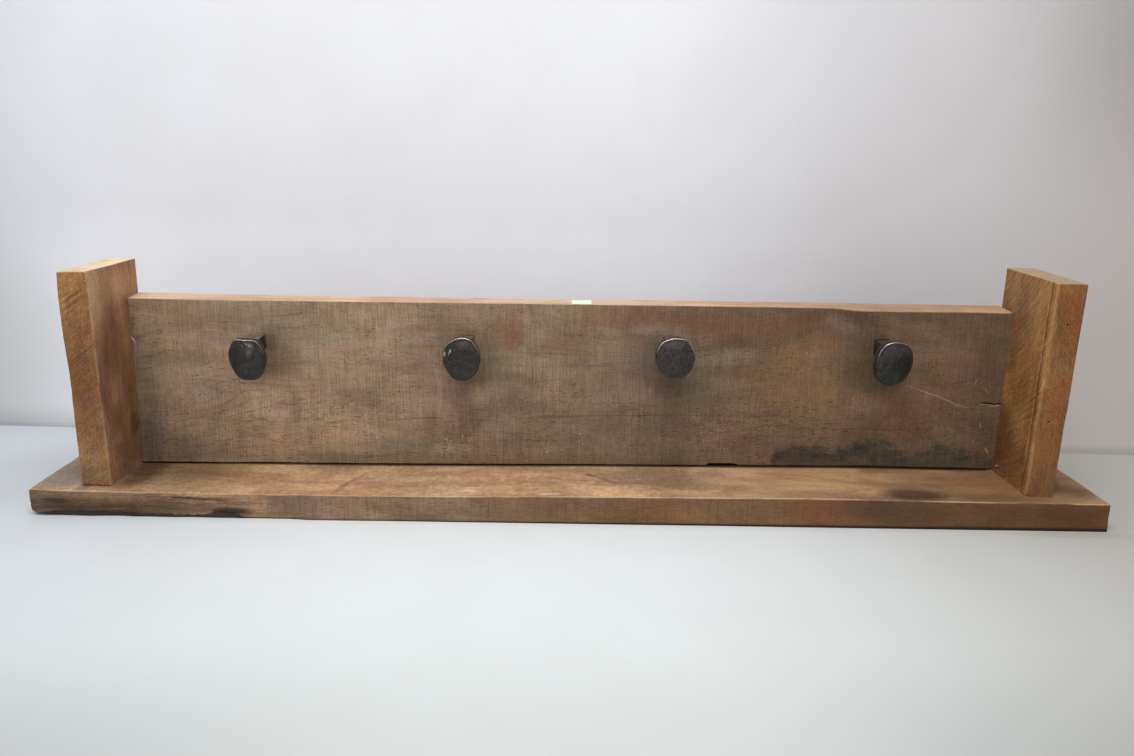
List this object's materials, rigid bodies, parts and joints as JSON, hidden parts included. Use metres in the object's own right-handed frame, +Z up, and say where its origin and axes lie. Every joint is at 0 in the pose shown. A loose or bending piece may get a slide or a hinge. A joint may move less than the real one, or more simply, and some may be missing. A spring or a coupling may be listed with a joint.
{
  "type": "coat rack with shelf",
  "caption": "Rustic coat rack: a rough-sawn back board with iron track spikes as hooks, between two end blocks on a long shelf board.",
  "frame": {"origin": "middle of the shelf board's lower face, which is the middle of the bounding box's bottom", "axes": "+X along the rack, to the right as seen from the hook side; +Y towards the wall; +Z up as pictured, with the rack standing upside down on its shelf board, so -Z is up once it hangs on a wall"},
  "size_m": [1.067, 0.118, 0.246],
  "materials": {
    "shelf_wood": "rough-sawn, worn, unfinished",
    "board_wood": "rough-sawn, weathered grey-brown",
    "block_wood": "rough-sawn, honey brown",
    "spike_iron": "dark hammered iron, waxed",
    "screw_steel": "zinc plated",
    "plate_steel": "zinc plated"
  },
  "bodies": {
    "root": {"shelf_board": "shelf_wood", "back_board": "board_wood", "left_end_block": "block_wood", "right_end_block": "block_wood", "spike_1": "spike_iron", "spike_2": "spike_iron", "spike_3": "spike_iron", "spike_4": "spike_iron", "left_shelf_screws": "screw_steel", "right_shelf_screws": "screw_steel", "back_board_screws": "screw_steel", "left_end_screws": "screw_steel", "right_end_screws": "screw_steel", "hanger_screws": "screw_steel", "left_hanger_plate": "plate_steel", "right_hanger_plate": "plate_steel"}
  },
  "joints": []
}
